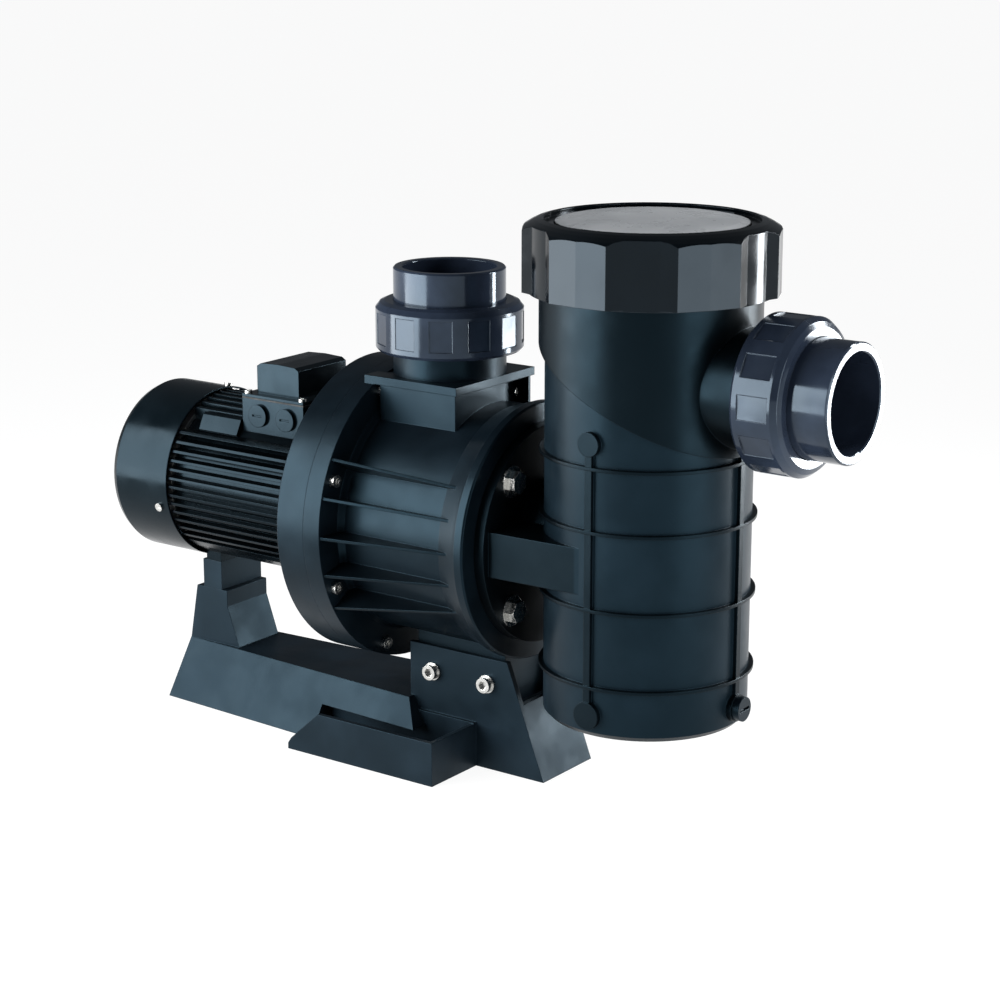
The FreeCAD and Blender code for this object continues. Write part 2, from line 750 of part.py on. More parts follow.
def make_terminal_box():
    c = cells
    half_x, half_y = c.box_half_length, c.box_half_width
    wall = c.box_wall
    box = new_body("terminal_box", x=c.box_place, z=c.shaft_height)
    outside = new_sketch(box, "XY", 55)
    rectangle(outside, -half_x, half_x, -half_y, half_y)
    pad(outside, c.box_top - 55)
    groove(box, "X", [(-half_x - 1, 0), (half_x + 1, 0), (half_x + 1, c.frame_radius),
                      (-half_x - 1, c.frame_radius)])
    room = new_sketch(box, "XY", c.box_floor)
    rectangle(room, wall - half_x + 6, half_x - wall - 6, wall - half_y, half_y - wall)
    pocket(room, 20)
    entry = new_sketch(box, "XZ", half_y - 12)
    for side in (-1, 1):
        circle(entry, c.gland_thread, side * c.gland_spacing, c.gland_height)
    pocket(entry, 14)
    tapped = new_sketch(box, "XY", c.box_top - 11)
    for side_x in (-1, 1):
        for side_y in (-1, 1):
            circle(tapped, 1.6, side_x * c.box_screw_x, side_y * c.box_screw_y)
    pocket(tapped, 12)

    gasket = new_body("terminal_gasket", x=c.box_place, z=c.shaft_height)
    seal = new_sketch(gasket, "XY", c.box_top)
    rectangle(seal, -half_x, half_x, -half_y, half_y)
    rectangle(seal, wall - half_x + 6, half_x - wall - 6, wall - half_y, half_y - wall)
    screw_circles(seal, 2.0)
    pad(seal, c.gasket_thickness)

    lid_low = c.box_top + c.gasket_thickness
    lid = new_body("terminal_lid", x=c.box_place, z=c.shaft_height)
    plate = new_sketch(lid, "XY", lid_low)
    rectangle(plate, -half_x, half_x, -half_y, half_y)
    screw_circles(plate, 2.0)
    pad(plate, c.lid_plate)
    tower = new_sketch(lid, "XZ")
    polygon(tower, [(-c.lid_half_length, lid_low + 1), (c.lid_half_length, lid_low + 1),
                    (c.lid_half_length, c.lid_top - 4), (c.lid_half_length - 5, c.lid_top - 1),
                    (0, c.lid_top), (5 - c.lid_half_length, c.lid_top - 1),
                    (-c.lid_half_length, c.lid_top - 4)])
    pad(tower, c.lid_half_width * 2, middle=True)
    hollow = new_sketch(lid, "XY", lid_low)
    rectangle(hollow, 2.5 - c.lid_half_length, c.lid_half_length - 2.5,
              2.5 - c.lid_half_width, c.lid_half_width - 2.5)
    pocket(hollow, c.lid_top - lid_low - 7)
    return box, gasket, lid


def screw_circles(sketch, radius):
    for side_x in (-1, 1):
        for side_y in (-1, 1):
            circle(sketch, radius, side_x * cells.box_screw_x, side_y * cells.box_screw_y)


def make_terminal_screws():
    c = cells
    body = new_body("terminal_screws", x=c.box_place, z=c.shaft_height)
    head_low = c.box_top + c.gasket_thickness + c.lid_plate
    shanks = new_sketch(body, "XY", c.box_top - 9)
    screw_circles(shanks, 1.6)
    pad(shanks, head_low - c.box_top + 9)
    heads = new_sketch(body, "XY", head_low)
    screw_circles(heads, 4)
    pad(heads, 3)
    slots = new_sketch(body, "XY", head_low + 1.6)
    for side_x in (-1, 1):
        for side_y in (-1, 1):
            x, y = side_x * c.box_screw_x, side_y * c.box_screw_y
            rectangle(slots, x - 3, x + 3, y - 0.5, y + 0.5)
    pocket(slots, 3)
    return body


def make_terminal_block():
    """The moulded block with six brass studs that the supply wires clamp to."""
    c = cells
    block = new_body("terminal_block", x=c.box_place, z=c.shaft_height)
    base = new_sketch(block, "XY", c.box_floor)
    rectangle(base, -26, 26, -17, 17)
    pad(base, 9)
    ribs = new_sketch(block, "XY", c.box_floor + 9)
    for x in (-9, 7):
        rectangle(ribs, x, x + 2, -17, 17)
    pad(ribs, 6)
    studs = new_body("terminal_studs", x=c.box_place, z=c.shaft_height)
    nuts = new_sketch(studs, "XY", c.box_floor + 9)
    pins = new_sketch(studs, "XY", c.box_floor + 9)
    for x in (-17, 0, 17):
        for y in (-9, 9):
            hexagon(nuts, 4.6, x, y)
            circle(pins, 2, x, y)
    pad(nuts, 4)
    pad(pins, 14)
    return block, studs


def make_gland_plugs():
    """Two screwed blanks that close the cable entries of the terminal box."""
    c = cells
    body = new_body("gland_plugs", x=c.box_place, z=c.shaft_height)
    threads = new_sketch(body, "XZ", c.box_half_width - 10)
    heads = new_sketch(body, "XZ", c.box_half_width)
    slots = new_sketch(body, "XZ", c.box_half_width + 2.2)
    for side in (-1, 1):
        x = side * c.gland_spacing
        circle(threads, c.gland_thread, x, c.gland_height)
        circle(heads, c.gland_radius, x, c.gland_height)
        rectangle(slots, x - 6, x + 6, c.gland_height - 0.9, c.gland_height + 0.9)
    pad(threads, 10)
    pad(heads, 3.4)
    pocket(slots, 4)
    return body


# ---------------------------------------------------------------- volute, bracket and impeller

def make_pump_body():
    c = cells
    body = new_body("pump_body", z=c.shaft_height)
    revolve(body, "X", [
        (c.flange_joint, 0), (c.flange_joint, c.flange_radius), (c.flange_front, c.flange_radius),
        (c.flange_front, c.volute_radius + 4), (c.flange_front + 6, c.volute_radius),
        (c.volute_front - 32, c.volute_radius), (c.volute_front - 12, c.front_flange_radius - 1),
        (c.volute_front - 9, c.front_flange_radius), (c.volute_front - 1.5, c.front_flange_radius),
        (c.volute_front, c.front_flange_radius - 1.5), (c.volute_front, 0)])

    for side in (0, 180):
        rib = new_sketch(body, "XY", 0, side - 30)
        low = c.volute_radius - 2
        polygon(rib, [(c.flange_front - 1, low), (c.flange_front - 1, c.rib_top),
                      (c.volute_front - 18, c.volute_radius + 3), (c.volute_front - 18, low)])
        around([pad(rib, c.rib_wall, middle=True)], "X", 5, 60)

    block = new_sketch(body, "XY", 70)
    rectangle(block, c.platform_wall_rear, c.platform_front - 3, 2.5 - c.platform_half, c.platform_half - 2.5)
    pad(block, c.platform_top - 70 - 2)
    top = new_sketch(body, "XY", c.platform_top - c.platform_lip)
    rectangle(top, c.platform_rear, c.platform_front, -c.platform_half, c.platform_half)
    pad(top, c.platform_lip)
    recess = new_sketch(body, "YZ", c.platform_front - 3)
    recess_end = c.platform_half - 6
    polygon(recess, [(c.recess_side, c.platform_top - 30), (recess_end - 5, c.platform_top - 40),
                     (recess_end, c.platform_top - 40), (recess_end, c.platform_top - c.platform_lip),
                     (c.recess_side, c.platform_top - c.platform_lip)])
    pocket(recess, 14, back=True)

    neck_low = c.platform_top - 4
    neck_end = c.discharge_nut_start + c.neck_reach - c.shaft_height
    thread_low = neck_end - c.neck_reach + 0.5
    for start, end, radius in ((neck_low, neck_end, c.neck_radius), (thread_low, neck_end, c.thread_radius)):
        neck = new_sketch(body, "XY", start)
        circle(neck, radius, c.discharge_place, 0)
        pad(neck, end - start)

    pedestal = new_sketch(body, "XY", c.pedestal_bottom)
    rectangle(pedestal, c.pedestal_rear, c.pedestal_front, -c.saddle_inner_half, c.saddle_inner_half)
    pad(pedestal, -c.pedestal_bottom - 100)
    saddle_holes = new_sketch(body, "XZ", c.saddle_inner_half + 1)
    for place_x in (c.saddle_bolt_rear, c.saddle_bolt_front):
        circle(saddle_holes, c.saddle_bolt_radius + 0.3, place_x, c.saddle_bolt_height - c.shaft_height)
    pocket(saddle_holes, c.saddle_inner_half * 2 + 2, back=True)

    groove(body, "X", [
        (c.flange_joint - 1, 0), (c.flange_joint - 1, c.volute_bore),
        (c.volute_front_wall - 6, c.volute_bore), (c.volute_front_wall, c.volute_bore - 6),
        (c.volute_front_wall, c.passage_radius + 4), (c.volute_front_wall + 2, c.passage_radius + 4),
        (c.volute_front_wall + 2, c.passage_radius), (c.volute_front + 1, c.passage_radius),
        (c.volute_front + 1, 0)])
    throat = new_sketch(body, "XY", 60)
    circle(throat, c.union_bore + 1, c.discharge_place, 0)
    pocket(throat, neck_end - 59)

    screw = new_sketch(body, "YZ", c.flange_joint - 1)
    circle(screw, c.ring_screw_hole, *polar(c.ring_screw_circle, 22.5))
    around([pocket(screw, c.flange_front - c.flange_joint + 2)], "X", 8)
    bolt = new_sketch(body, "YZ", c.volute_front - 20)
    circle(bolt, c.saddle_bolt_radius, *polar(c.bolt_circle, 45))
    around([pocket(bolt, 21)], "X", 4)
    vent = new_sketch(body, "YZ", c.platform_front - 30)
    circle(vent, c.vent_thread, c.vent_side, c.platform_top - c.vent_drop)
    pocket(vent, 20)
    return body


def polar(radius, angle):
    """A place on a circle about the sketch's origin."""
    turned = math.radians(angle)
    return radius * math.cos(turned), radius * math.sin(turned)


def make_bracket():
    """The ring between the motor and the volute; its inner plate closes the volute's rear."""
    c = cells
    rear = c.frame_front
    joint = c.flange_joint
    body = turned_piece("motor_bracket", "X", [
        (rear, c.flange_radius - 2), (rear + 2, c.flange_radius), (joint, c.flange_radius),
        (joint, 115), (joint - 3, 115), (joint - 3, 110), (joint, 110), (joint, c.volute_bore - 0.4),
        (joint + 8, c.volute_bore - 0.4), (joint + 8, 20), (joint - 8, 20), (joint - 8, 60),
        (joint - 16, 60), (joint - 16, 84.3), (rear, 84.3)], z=c.shaft_height)
    groove(body, "X", [(rear - 1, 94), (rear - 1, 139), (joint - 12, 139), (joint - 12, 94)])
    web = new_sketch(body, "XZ")
    rectangle(web, rear + 1, joint - 11, 92, 141)
    around([pad(web, 4, middle=True)], "X", 16)
    tapped = new_sketch(body, "YZ", joint - 20)
    circle(tapped, 3.5, *polar(c.ring_screw_circle, 22.5))
    around([pocket(tapped, 21)], "X", 8)
    return body


def make_ring_screws():
    """Eight socket-headed screws that clamp the volute's rear flange to the bracket."""
    c = cells
    body = new_body("ring_screws", z=c.shaft_height)
    centre = polar(c.ring_screw_circle, 22.5)
    shank = new_sketch(body, "YZ", c.flange_joint - 18)
    circle(shank, 3.5, *centre)
    head = new_sketch(body, "YZ", c.flange_front)
    circle(head, 6, *centre)
    socket = new_sketch(body, "YZ", c.flange_front + 2.5)
    hexagon(socket, 3.2, *centre)
    around([pad(shank, c.flange_front - c.flange_joint + 18), pad(head, 5.5), pocket(socket, 4)], "X", 8)
    return body


def make_seals():
    c = cells
    o_ring("body_o_ring", "X", 112.5, 1.4, c.flange_joint - 1.5, c.shaft_height)
    seat = turned_piece("seal_seat", "X", [
        (c.flange_joint - 8, 14), (c.flange_joint - 8, 20), (c.impeller_rear - 8.1, 20),
        (c.impeller_rear - 8.1, 14)], z=c.shaft_height)
    turning = turned_piece("seal_rotor", "X", [
        (c.impeller_rear - 8, 12), (c.impeller_rear - 8, 16), (c.impeller_rear - 4, 16),
        (c.impeller_rear - 4, 18), (c.impeller_rear, 18), (c.impeller_rear, 12)], z=c.shaft_height)
    slinger = turned_piece("water_slinger", "X", [
        (c.flange_joint - 15, 12), (c.flange_joint - 15, 16), (c.flange_joint - 13, 22),
        (c.flange_joint - 11, 22), (c.flange_joint - 11, 12)], z=c.shaft_height)
    return seat, turning, slinger


def make_impeller():
    """A closed impeller: hub, rear shroud, six swept vanes, front shroud and eye ring."""
    c = cells
    rear = c.impeller_rear
    body = new_body("impeller", z=c.shaft_height)
    revolve(body, "X", [
        (rear, 12), (rear, 24), (rear + 2, 26), (rear + 2, c.impeller_radius),
        (rear + 5, c.impeller_radius), (rear + 5, 26), (rear + 22, 17), (rear + 22, 12)])
    vane = new_sketch(body, "YZ", rear + 4)
    outer_side, inner_side = [], []
    steps = 8
    for step in range(steps + 1):
        share = step / steps
        radius = 24 + (c.impeller_radius - 26) * share
        outer_side.append(polar(radius, 100 * share))
        inner_side.append(polar(radius, 100 * share - 150 / (30 + 40 * share)))
    polygon(vane, outer_side + inner_side[::-1])
    around([pad(vane, 19)], "X", 6)
    revolve(body, "X", [
        (rear + 22, 33), (rear + 22, c.impeller_radius), (rear + 25, c.impeller_radius),
        (rear + 25, c.impeller_eye), (rear + 32, c.impeller_eye), (rear + 32, 33)])

    nut = new_body("impeller_nut", z=c.shaft_height)
    hexed = new_sketch(nut, "YZ", rear + 22)
    hexagon(hexed, 10)
    circle(hexed, 5)
    pad(hexed, 8)

    wear = turned_piece("wear_ring", "X", [
        (rear + 27, c.impeller_eye + 0.3), (rear + 27, c.passage_radius - 0.5),
        (rear + 37, c.passage_radius - 0.5), (rear + 37, c.impeller_eye + 0.3)], z=c.shaft_height)
    return body, nut, wear


def make_diffuser():
    """The inner casing: a suction tube, a front plate and nine guide vanes around the impeller."""
    c = cells
    plate = c.impeller_rear + 30
    body = new_body("diffuser", z=c.shaft_height)
    revolve(body, "X", [
        (plate - 3, c.passage_radius - 0.5), (plate - 3, c.diffuser_radius), (plate + 2, c.diffuser_radius),
        (plate + 2, c.passage_radius + 6), (plate + 10, c.passage_radius + 3.8),
        (c.volute_front_wall + 1.8, c.passage_radius + 3.8), (c.volute_front_wall + 1.8, c.passage_radius - 0.5)])
    vane = new_sketch(body, "YZ", c.impeller_rear + 2)
    polygon(vane, [polar(78, 0), polar(90, 18), polar(103, 30), polar(103, 34), polar(88, 21), polar(78, 3.5)])
    around([pad(vane, 26)], "X", 9)
    return body


def make_bolts():
    c = cells
    washers = new_body("pot_bolt_washers", z=c.shaft_height)
    centre = polar(c.bolt_circle, 45)
    ring = new_sketch(washers, "YZ", c.pot_flange_front)
    circle(ring, 15, *centre)
    circle(ring, c.saddle_bolt_radius, *centre)
    around([pad(ring, 2.5)], "X", 4)

    bolts = new_body("pot_bolts", z=c.shaft_height)
    shank = new_sketch(bolts, "YZ", c.volute_front - 18)
    circle(shank, c.saddle_bolt_radius, *centre)
    head = new_sketch(bolts, "YZ", c.pot_flange_front + 2.5)
    hexagon(head, 11, *centre)
    around([pad(shank, c.pot_flange_front - c.volute_front + 20.5), pad(head, 8)], "X", 4)

    outside = c.saddle_inner_half + c.saddle_wall
    saddle = new_body("saddle_bolts", z=c.saddle_bolt_height)
    nuts = new_body("saddle_nuts", z=c.saddle_bolt_height)
    shanks = new_sketch(saddle, "XZ", -outside - 10)
    heads = new_sketch(saddle, "XZ", outside)
    caps = new_sketch(saddle, "XZ", outside + 2)
    sockets = new_sketch(saddle, "XZ", outside + 4)
    nut_sketch = new_sketch(nuts, "XZ", -outside)
    for place_x in (c.saddle_bolt_rear, c.saddle_bolt_front):
        circle(shanks, c.saddle_bolt_radius, place_x, 0)
        circle(heads, c.saddle_head_radius + 1.5, place_x, 0)
        circle(caps, c.saddle_head_radius, place_x, 0)
        hexagon(sockets, 4.6, place_x, 0)
        hexagon(nut_sketch, 11, place_x, 0)
        circle(nut_sketch, c.saddle_bolt_radius, place_x, 0)
    pad(shanks, outside * 2 + 10)
    pad(heads, 2)
    pad(caps, 6)
    pocket(sockets, 5)
    pad(nut_sketch, 8, back=True)

    vent = new_body("vent_plug", y=c.vent_side, z=c.shaft_height + c.platform_top - c.vent_drop)
    thread = new_sketch(vent, "YZ", c.platform_front - 26)
    circle(thread, c.vent_thread - 0.08)
    cap = new_sketch(vent, "YZ", c.platform_front - 17)
    hexagon(cap, 4.5)
    pad(thread, 10)
    pad(cap, 5)
    return washers, bolts, saddle, nuts, vent


# ---------------------------------------------------------------- strainer pot and basket

def make_strainer_pot():
    c = cells
    centre = c.pot_place
    pot = new_body("strainer_pot", x=centre)

    collar = new_sketch(pot, "XY", c.web_high + 70)
    circle(collar, c.pot_upper_radius)
    pad(collar, c.ring_bottom - c.web_high - 70)
    slant = new_sketch(pot, "XZ")
    far = c.pot_upper_radius + 20
    seam = c.pot_seam_height - 0.5 * centre
    polygon(slant, [(-far, 200), (far, 200), (far, seam - 0.5 * far), (-far, seam + 0.5 * far)])
    pocket(slant, 300, middle=True)

    ribs = []
    for height in (c.pot_rib_a, c.pot_rib_b, c.pot_rib_c, c.pot_rib_d):
        half = c.pot_rib_wall / 2
        ribs.append((height - half, height + half))
    revolve(pot, "Z", [
        (0, c.pot_bottom), (c.pot_radius - 5, c.pot_bottom), (c.pot_radius, c.pot_bottom + 5),
        (c.pot_radius, c.ring_bottom + 1), (c.ring_bore - 0.5, c.ring_bottom + 1),
        (c.ring_bore - 0.5, c.pot_rim), (0, c.pot_rim)])
    rib_sketch = new_sketch(pot, "XZ")
    for low, high in ribs:
        rectangle(rib_sketch, c.pot_radius - 2, c.pot_rib_radius, low, high)
    turn("Revolution", rib_sketch, "Z")

    bead = new_sketch(pot, "XY", c.pot_bottom + 12)
    rectangle(bead, c.pot_radius - 2, c.pot_radius + 4, -3.5, 3.5)
    upper_boss = new_sketch(pot, "YZ", c.pot_radius - 4)
    circle(upper_boss, 11, 0, c.upper_boss_height)
    lower_boss = new_sketch(pot, "YZ", c.pot_radius - 4)
    circle(lower_boss, 13, 0, c.drain_height)
    around([pad(bead, 262), pad(upper_boss, 9), pad(lower_boss, 9)], "Z", 4)

    flange_place = c.pot_flange_rear - centre
    flange = new_sketch(pot, "YZ", flange_place)
    circle(flange, c.pot_flange_radius, 0, c.shaft_height)
    pad(flange, c.pot_flange_front - c.pot_flange_rear)
    tube = new_sketch(pot, "YZ", flange_place)
    circle(tube, c.pot_tube_radius, 0, c.shaft_height)
    pad(tube, -flange_place - 40)
    web = new_sketch(pot, "XY", c.web_low)
    polygon(web, [(flange_place + 6, -c.web_half_rear), (-12, -c.web_half_front), (-12, c.web_half_front),
                  (flange_place + 6, c.web_half_rear)])
    pad(web, c.web_high - c.web_low)
    neck_end = c.suction_nut_start + c.neck_reach - centre
    thread_start = neck_end - c.neck_reach + 0.5
    for start, radius in ((c.pot_radius * 0.5, c.neck_radius), (thread_start, c.thread_radius)):
        neck = new_sketch(pot, "YZ", start)
        circle(neck, radius, 0, c.suction_height)
        pad(neck, neck_end - start)

    groove(pot, "Z", [
        (0, c.pot_floor), (c.pot_bore - 6, c.pot_floor), (c.pot_bore, c.pot_floor + 6),
        (c.pot_bore, c.pot_ledge), (c.pot_mouth, c.pot_ledge), (c.pot_mouth, c.pot_rim + 1),
        (0, c.pot_rim + 1)])
    outlet = new_sketch(pot, "YZ", flange_place - 1)
    circle(outlet, c.passage_radius, 0, c.shaft_height)
    pocket(outlet, -flange_place)
    inlet = new_sketch(pot, "YZ", 0)
    circle(inlet, c.union_bore + 1, 0, c.suction_height)
    pocket(inlet, neck_end + 1)

    seal = new_sketch(pot, "YZ", flange_place)
    circle(seal, 64, 0, c.shaft_height)
    circle(seal, 60, 0, c.shaft_height)
    pocket(seal, 3)
    bolt = new_sketch(pot, "YZ", flange_place - 1)
    across, up = polar(c.bolt_circle, 45)
    for side in (-1, 1):
        for rise in (-1, 1):
            circle(bolt, c.saddle_bolt_radius + 0.2, side * across, c.shaft_height + rise * up)
    pocket(bolt, 14)
    drain = new_sketch(pot, "YZ", c.pot_radius - 14)
    circle(drain, 7, 0, c.drain_height)
    pocket(drain, 25)
    return pot


def make_pot_seal():
    c = cells
    return o_ring("pot_o_ring", "X", 62, 1.5, c.pot_flange_rear + 1.5, c.shaft_height)


def make_drain_plug():
    c = cells
    plug = new_body("drain_plug", x=c.pot_place, z=c.drain_height)
    face = c.pot_radius + 5
    thread = new_sketch(plug, "YZ", face - 14)
    circle(thread, 6.9)
    pad(thread, 14)
    cap = new_sketch(plug, "YZ", face)
    circle(cap, 11.5)
    pad(cap, 7)
    slot = new_sketch(plug, "YZ", face + 4)
    rectangle(slot, -8, 8, -1.6, 1.6)
    pocket(slot, 5)
    return plug


def make_basket():
    """The strainer basket hangs by its rim; slots all round and a window that faces the inlet."""
    c = cells
    wall = c.basket_wall
    basket = new_body("basket", x=c.pot_place)
    revolve(basket, "Z", [
        (0, c.basket_bottom), (c.basket_low_radius, c.basket_bottom),
        (c.basket_high_radius, c.pot_ledge), (c.basket_rim, c.pot_ledge + 0.3),
        (c.basket_rim, c.pot_ledge + 3), (c.basket_high_radius - wall, c.pot_ledge + 3),
        (c.basket_low_radius - wall, c.basket_bottom + wall), (0, c.basket_bottom + wall)])
    slots = new_sketch(basket, "YZ", 60)
    for low in (228, 282, 336, 390, 444):
        rectangle(slots, -3, 3, low, low + 44)
    around([pocket(slots, 40)], "Z", 24)
    window = new_sketch(basket, "YZ", 50)
    circle(window, c.union_bore + 1, 0, c.suction_height)
    pocket(window, 50)
    floor_slots = new_sketch(basket, "XY", c.basket_bottom - 1)
    rectangle(floor_slots, 14, 66, -2.5, 2.5)
    around([pocket(floor_slots, wall + 2)], "Z", 16)
    lug = new_sketch(basket, "XZ", c.handle_radius + 3.5)
    rectangle(lug, -6, 6, c.pot_ledge + 1, c.handle_height + 6)
    circle(lug, 2.7, 0, c.handle_height)
    mirrored([pad(lug, 4)], "XZ")
    return basket


def make_handle():
    """The basket's bail, folded down over the rim, with a pin at each end."""
    c = cells
    bail = doc.addObject("Part::Torus", "bail_hoop")
    bail.Angle3 = 180
    bind(bail, "Radius1", c.handle_radius)
    bind(bail, "Radius2", 2.9)
    bail.Placement.Rotation = FreeCAD.Rotation(FreeCAD.Vector(0, 0, 1), -90)
    place(bail, c.pot_place, 0, c.handle_height)
    pins = []
    for name, side in (("bail_pin_left", -1), ("bail_pin_right", 1)):
        pin = doc.addObject("Part::Cylinder", name)
        bind(pin, "Radius", 2.4)
        bind(pin, "Height", 8.5)
        pin.Placement.Rotation = FreeCAD.Rotation(FreeCAD.Vector(1, 0, 0), -90 * side)
        place(pin, c.pot_place, side * (c.handle_radius - 1), c.handle_height)
        pins.append(pin)
    handle = doc.addObject("Part::MultiFuse", "basket_handle")
    handle.Label = "basket_handle"
    handle.Shapes = [bail] + pins
    nodes.append(handle)
    return handle


# ---------------------------------------------------------------- lid

def make_lid():
    c = cells
    edge = c.lens_radius - 0.8
    lens = turned_piece("lid_lens", "Z", [
        (0, c.lens_top), (50, c.lens_top - 1.2), (80, c.lens_top - 3.4), (edge, c.lens_top - 5),
        (edge, c.ring_lip - 0.3), (c.lens_flange, c.ring_lip - 0.3), (c.lens_flange, c.lens_low),
        (84, c.lens_low), (80, c.lens_top - 9), (50, c.lens_top - 7), (0, c.lens_top - 6)], x=c.pot_place)
    o_ring("lid_o_ring", "Z", 98.5, 3.1, c.pot_place, c.pot_rim + 3.6)

    base = c.ring_base_radius
    brow = [(base - 1.7, c.ring_top - 3.8), (104.5, c.ring_top - 1.4), (99, c.ring_top)]
    ring = turned_piece("lid_ring", "Z", [
        (c.ring_bore, c.ring_bottom), (base, c.ring_bottom), (base, c.ring_top - 5)] + brow + [
        (c.ring_mouth, c.ring_top - 1), (c.ring_mouth, c.ring_ledge), (c.lens_radius, c.ring_ledge),
        (c.lens_radius, c.ring_lip), (c.ring_bore, c.ring_lip)], x=c.pot_place)
    lug = new_sketch(ring, "XY", c.ring_bottom + 1)
    outer = c.ring_lug_radius
    polygon(lug, [polar(outer, -14.8), (outer - 1.6, 0), polar(outer, 14.8), polar(base - 0.6, 22.9)]
            + arc_points(base - 3, 22.9, -22.9, 4) + [polar(base - 0.6, -22.9)])
    ridge = new_sketch(ring, "XY", c.ring_bottom + 1, 30)
    rectangle(ridge, base - 2, base + 1.2, -1.4, 1.4)
    tall = c.ring_top - c.ring_bottom - 1
    around([pad(lug, tall), pad(ridge, tall - 6)], "Z", 6)
    groove(ring, "Z", [(outer + 1, c.ring_shoulder)] + [(outer - 2.8, c.ring_top - 7)] + brow
           + [(99, c.ring_top + 4), (outer + 1, c.ring_top + 4)])
    ring.Placement.Rotation = FreeCAD.Rotation(FreeCAD.Vector(0, 0, 1), 28)
    return lens, ring


# ---------------------------------------------------------------- unions

def make_union(name, axis, x, z, nut_start, end):
    """Nut, socketed tail and sealing ring of one union, turned about X or Z."""
    c = cells
    gap = c.union_clearance
    nut_end = nut_start + c.nut_length
    seat = nut_start + c.neck_reach
    lip = nut_end - c.nut_lip

    def outline(points):
        return [(place_, radius) if axis == "X" else (radius, place_) for place_, radius in points]

    nut = turned_piece(name + "_nut", axis, outline([
        (nut_start, c.thread_radius + gap), (nut_start, c.nut_radius - 2.5), (nut_start + 3, c.nut_radius),
        (nut_end - 7, c.nut_radius), (nut_end - 2, c.nut_radius - 4), (nut_end, c.nut_radius - 9),
        (nut_end, c.sleeve_radius + gap), (lip, c.sleeve_radius + gap), (lip, c.thread_radius + gap)]), x=x, z=z)
    if axis == "X":
        flat = new_sketch(nut, "XY", c.nut_radius - 1.4)
        rectangle(flat, nut_start + 8, nut_end - 10, -11, 11)
    else:
        flat = new_sketch(nut, "YZ", c.nut_radius - 1.4)
        rectangle(flat, -11, 11, nut_start + 8, nut_end - 10)
    around([pocket(flat, 5)], axis, 12)

    shoulder = seat + 0.3
    turned_piece(name + "_tail", axis, outline([
        (shoulder, c.union_bore), (shoulder, c.thread_radius - 1), (lip - gap, c.thread_radius - 1),
        (lip - gap, c.sleeve_radius), (end - 1.5, c.sleeve_radius), (end, c.sleeve_radius - 1.5),
        (end, c.socket_radius + 1.2), (end - 1.2, c.socket_radius), (end - c.socket_depth, c.socket_radius),
        (end - c.socket_depth, c.union_bore)]), x=x, z=z)
    return nut


def make_unions():
    c = cells
    make_union("suction", "X", 0, c.suction_height, c.suction_nut_start, c.suction_end)
    make_union("discharge", "Z", c.discharge_place, 0, c.discharge_nut_start, c.discharge_end)


SUB_PARTS = [
    make_base_stand, make_motor_leg, make_shaft, make_rotor_core, make_stator_core, make_windings,
    make_bearings, make_motor_frame, make_end_shields, make_fan, make_fan_cover, make_cover_screws,
    make_terminal_box, make_terminal_screws, make_terminal_block, make_gland_plugs, make_pump_body,
    make_bracket, make_ring_screws, make_seals, make_impeller, make_diffuser, make_bolts,
    make_strainer_pot, make_pot_seal, make_drain_plug, make_basket, make_handle, make_lid, make_unions,
]


def write_nodes():
    doc.recompute()
    failed = [thing.Name for thing in doc.Objects if {"Invalid", "Error"} & set(thing.State)]
    failed += [node.Label for node in nodes if node.Shape.isNull() or not node.Shape.isValid()]
    if failed:
        raise RuntimeError("failed: " + ", ".join(failed))
    os.makedirs("parts", exist_ok=True)
    for node in nodes:
        node.Shape.exportStep(os.path.join("parts", node.Label + ".step"))
        print(node.Label, len(node.Shape.Solids), round(node.Shape.Volume))


for make in SUB_PARTS:
    make()
    doc.recompute()
write_nodes()
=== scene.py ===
import json
import math

import bmesh
import bpy
from mathutils import Matrix, Vector


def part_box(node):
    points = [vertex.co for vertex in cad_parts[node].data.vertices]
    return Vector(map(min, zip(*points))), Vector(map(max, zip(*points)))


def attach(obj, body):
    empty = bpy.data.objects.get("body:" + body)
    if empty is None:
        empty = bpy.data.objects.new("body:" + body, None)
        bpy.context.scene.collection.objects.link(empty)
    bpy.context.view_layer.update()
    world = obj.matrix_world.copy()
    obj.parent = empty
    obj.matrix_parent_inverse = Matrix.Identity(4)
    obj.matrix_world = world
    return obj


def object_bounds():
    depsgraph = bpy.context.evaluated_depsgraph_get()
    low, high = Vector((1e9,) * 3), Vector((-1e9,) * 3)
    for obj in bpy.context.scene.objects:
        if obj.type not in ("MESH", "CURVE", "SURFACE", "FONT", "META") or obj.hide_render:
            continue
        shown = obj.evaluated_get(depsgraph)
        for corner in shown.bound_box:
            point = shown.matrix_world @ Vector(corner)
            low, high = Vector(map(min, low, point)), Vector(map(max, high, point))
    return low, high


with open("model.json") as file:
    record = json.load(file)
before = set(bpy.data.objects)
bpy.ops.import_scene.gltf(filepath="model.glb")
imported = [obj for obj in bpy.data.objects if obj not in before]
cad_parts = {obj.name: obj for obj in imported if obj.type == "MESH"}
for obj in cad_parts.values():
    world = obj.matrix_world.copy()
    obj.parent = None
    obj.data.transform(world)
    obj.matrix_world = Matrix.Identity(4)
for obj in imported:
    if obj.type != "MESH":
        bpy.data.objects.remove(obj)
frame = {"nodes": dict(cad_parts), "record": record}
cad_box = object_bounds()

X, Y, Z = range(3)


def middle_of(node, axis):
    """The middle of a CAD node's box along one axis."""
    low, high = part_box(node)
    return (low[axis] + high[axis]) / 2


MIDDLE = (cad_box[0] + cad_box[1]) / 2
POT_X = middle_of("lid_lens", X)
SHAFT_Z = middle_of("impeller", Z)


# ---------------------------------------------------------------- camera

